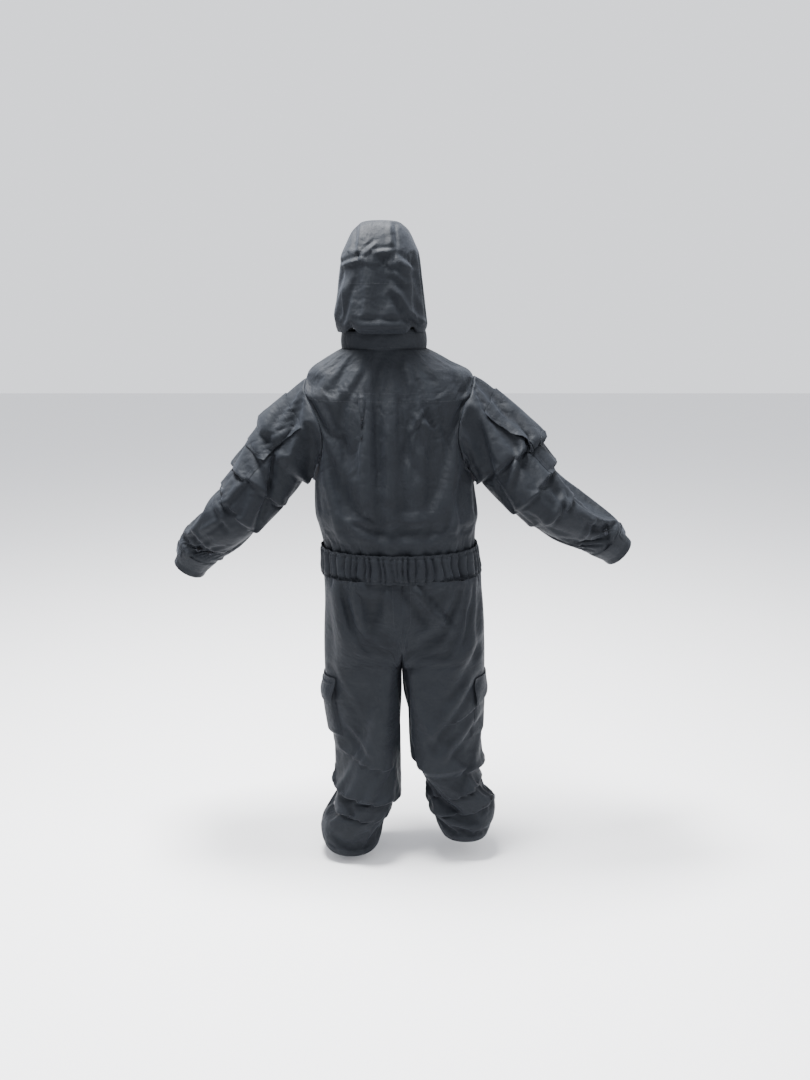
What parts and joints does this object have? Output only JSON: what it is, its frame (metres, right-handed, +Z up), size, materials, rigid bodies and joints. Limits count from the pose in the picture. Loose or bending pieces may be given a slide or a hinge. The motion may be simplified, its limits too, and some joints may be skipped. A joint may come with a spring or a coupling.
{
  "type": "chemical protective suit",
  "caption": "Hooded one-piece overgarment in two cloth layers, with a zipped and flapped front, gathered waist, full sleeves, and legs with bellows pockets.",
  "frame": {"origin": "centre of the neck opening, where the suit hangs on its wearer, 1.455 m above the floor they stand on", "axes": "+Z up, +Y the way the wearer faces, +X the wearer's right"},
  "size_m": [1.2621, 0.3157, 1.734],
  "materials": {
    "outer_cloth": "matte",
    "charcoal_liner": "matte",
    "trim": "matte",
    "zip_metal": "satin"
  },
  "bodies": {
    "torso": {"back_panel": "outer_cloth", "back_yoke": "outer_cloth", "right_front_panel": "outer_cloth", "left_front_panel": "outer_cloth", "left_seat_panel": "outer_cloth", "right_seat_panel": "outer_cloth", "torso_liner": "charcoal_liner", "waist_casing": "outer_cloth", "waist_elastic": "trim", "crotch_gusset": "outer_cloth", "collar": "outer_cloth", "hanger_loop": "trim", "left_zip_tape": "trim", "right_zip_tape": "trim", "zip_teeth": "zip_metal", "storm_flap_loop_tape": "trim"},
    "zip_slider": {"zip_slider": "zip_metal", "zip_pull": "zip_metal"},
    "storm_flap": {"storm_flap": "outer_cloth", "storm_flap_hook_tape": "trim"},
    "throat_tab": {"throat_tab": "outer_cloth"},
    "hood": {"hood_left_panel": "outer_cloth", "hood_centre_panel": "outer_cloth", "hood_right_panel": "outer_cloth", "hood_liner": "charcoal_liner", "face_hem": "outer_cloth"},
    "left_upper_sleeve": {"left_upper_sleeve": "outer_cloth", "left_upper_sleeve_liner": "charcoal_liner", "left_sleeve_pocket": "outer_cloth"},
    "left_lower_sleeve": {"left_lower_sleeve": "outer_cloth", "left_lower_sleeve_liner": "charcoal_liner", "left_cuff": "outer_cloth"},
    "left_sleeve_flap": {"left_sleeve_flap": "outer_cloth"},
    "left_cuff_tab": {"left_cuff_tab": "trim"},
    "left_upper_leg": {"left_upper_leg": "outer_cloth", "left_upper_leg_liner": "charcoal_liner", "left_cargo_pocket": "outer_cloth"},
    "left_cargo_flap": {"left_cargo_flap": "outer_cloth"},
    "left_lower_leg": {"left_lower_leg": "outer_cloth", "left_lower_leg_liner": "charcoal_liner", "left_hem_band": "outer_cloth", "left_ankle_zip": "trim"},
    "left_ankle_slider": {"left_ankle_slider": "zip_metal"},
    "right_upper_sleeve": {"right_upper_sleeve": "outer_cloth", "right_upper_sleeve_liner": "charcoal_liner", "right_sleeve_pocket": "outer_cloth"},
    "right_lower_sleeve": {"right_lower_sleeve": "outer_cloth", "right_lower_sleeve_liner": "charcoal_liner", "right_cuff": "outer_cloth"},
    "right_sleeve_flap": {"right_sleeve_flap": "outer_cloth"},
    "right_cuff_tab": {"right_cuff_tab": "trim"},
    "right_upper_leg": {"right_upper_leg": "outer_cloth", "right_upper_leg_liner": "charcoal_liner", "right_cargo_pocket": "outer_cloth"},
    "right_cargo_flap": {"right_cargo_flap": "outer_cloth"},
    "right_lower_leg": {"right_lower_leg": "outer_cloth", "right_lower_leg_liner": "charcoal_liner", "right_hem_band": "outer_cloth", "right_ankle_zip": "trim"},
    "right_ankle_slider": {"right_ankle_slider": "zip_metal"}
  },
  "joints": [
    {"name": "hood_fold", "type": "hinge", "parent": "torso", "child": "hood", "pos_m": [-0.00688, -0.1, 0.047], "axis": [1, 0, 0], "range_deg": [0, 110]},
    {"name": "storm_flap_hinge", "type": "hinge", "parent": "torso", "child": "storm_flap", "pos_m": [-0.00814, 0.136, -0.39623], "axis": [-0.0727, -0.0518, 0.996], "range_deg": [0, 150]},
    {"name": "throat_tab_hinge", "type": "hinge", "parent": "torso", "child": "throat_tab", "pos_m": [-0.03637, 0.11446, 0.01792], "axis": [-0.0727, -0.0518, 0.996], "range_deg": [0, 150]},
    {"name": "zip_travel", "type": "slide", "parent": "torso", "child": "zip_slider", "axis": [0.0727, 0.0518, -0.996], "range_m": [0, 0.78]},
    {"name": "left_shoulder_swing", "type": "hinge", "parent": "torso", "child": "left_upper_sleeve", "pos_m": [-0.24594, -0.005, -0.22], "axis": [0, 1, 0], "range_deg": [-5, 50]},
    {"name": "left_elbow_bend", "type": "hinge", "parent": "left_upper_sleeve", "child": "left_lower_sleeve", "pos_m": [-0.38688, -0.015, -0.415], "axis": [0.792, 0, -0.6105], "range_deg": [-8, 55]},
    {"name": "left_sleeve_flap_hinge", "type": "hinge", "parent": "left_upper_sleeve", "child": "left_sleeve_flap", "pos_m": [-0.35792, -0.00625, -0.17605], "axis": [-0.0243, 0.9991, -0.0336], "range_deg": [0, 140]},
    {"name": "left_cuff_tab_hinge", "type": "hinge", "parent": "left_lower_sleeve", "child": "left_cuff_tab", "pos_m": [-0.55983, -0.00862, -0.5574], "axis": [0.5994, -0.1897, 0.7777], "range_deg": [0, 120]},
    {"name": "left_hip_swing", "type": "hinge", "parent": "torso", "child": "left_upper_leg", "pos_m": [-0.05788, 0, -0.575], "axis": [1, 0, 0], "range_deg": [-10, 45]},
    {"name": "left_knee_bend", "type": "hinge", "parent": "left_upper_leg", "child": "left_lower_leg", "pos_m": [-0.05788, 0, -1.063], "axis": [-1, 0, 0], "range_deg": [0, 55]},
    {"name": "left_cargo_flap_hinge", "type": "hinge", "parent": "left_upper_leg", "child": "left_cargo_flap", "pos_m": [-0.19088, 0, -0.908], "axis": [0, 1, 0], "range_deg": [0, 140]},
    {"name": "left_ankle_zip_travel", "type": "slide", "parent": "left_lower_leg", "child": "left_ankle_slider", "axis": [0.0962, 0.0875, 0.9915], "range_m": [0, 0.105]},
    {"name": "right_shoulder_swing", "type": "hinge", "parent": "torso", "child": "right_upper_sleeve", "pos_m": [0.27806, -0.005, -0.22], "axis": [0, -1, 0], "range_deg": [-5, 50]},
    {"name": "right_elbow_bend", "type": "hinge", "parent": "right_upper_sleeve", "child": "right_lower_sleeve", "pos_m": [0.43012, -0.015, -0.41], "axis": [0.5948, 0, 0.8039], "range_deg": [-8, 55]},
    {"name": "right_sleeve_flap_hinge", "type": "hinge", "parent": "right_upper_sleeve", "child": "right_sleeve_flap", "pos_m": [0.38775, -0.00623, -0.17061], "axis": [-0.0256, -0.9992, 0.0321], "range_deg": [0, 140]},
    {"name": "right_cuff_tab_hinge", "type": "hinge", "parent": "right_lower_sleeve", "child": "right_cuff_tab", "pos_m": [0.64992, -0.00811, -0.51038], "axis": [0.7911, 0.1774, -0.5854], "range_deg": [0, 120]},
    {"name": "right_hip_swing", "type": "hinge", "parent": "torso", "child": "right_upper_leg", "pos_m": [0.18311, 0, -0.575], "axis": [1, 0, 0], "range_deg": [-10, 45]},
    {"name": "right_knee_bend", "type": "hinge", "parent": "right_upper_leg", "child": "right_lower_leg", "pos_m": [0.18311, 0, -1.063], "axis": [-1, 0, 0], "range_deg": [0, 55]},
    {"name": "right_cargo_flap_hinge", "type": "hinge", "parent": "right_upper_leg", "child": "right_cargo_flap", "pos_m": [0.31611, 0, -0.908], "axis": [0, -1, 0], "range_deg": [0, 140]},
    {"name": "right_ankle_zip_travel", "type": "slide", "parent": "right_lower_leg", "child": "right_ankle_slider", "axis": [-0.137, 0.0596, 0.9888], "range_m": [0, 0.105]}
  ]
}
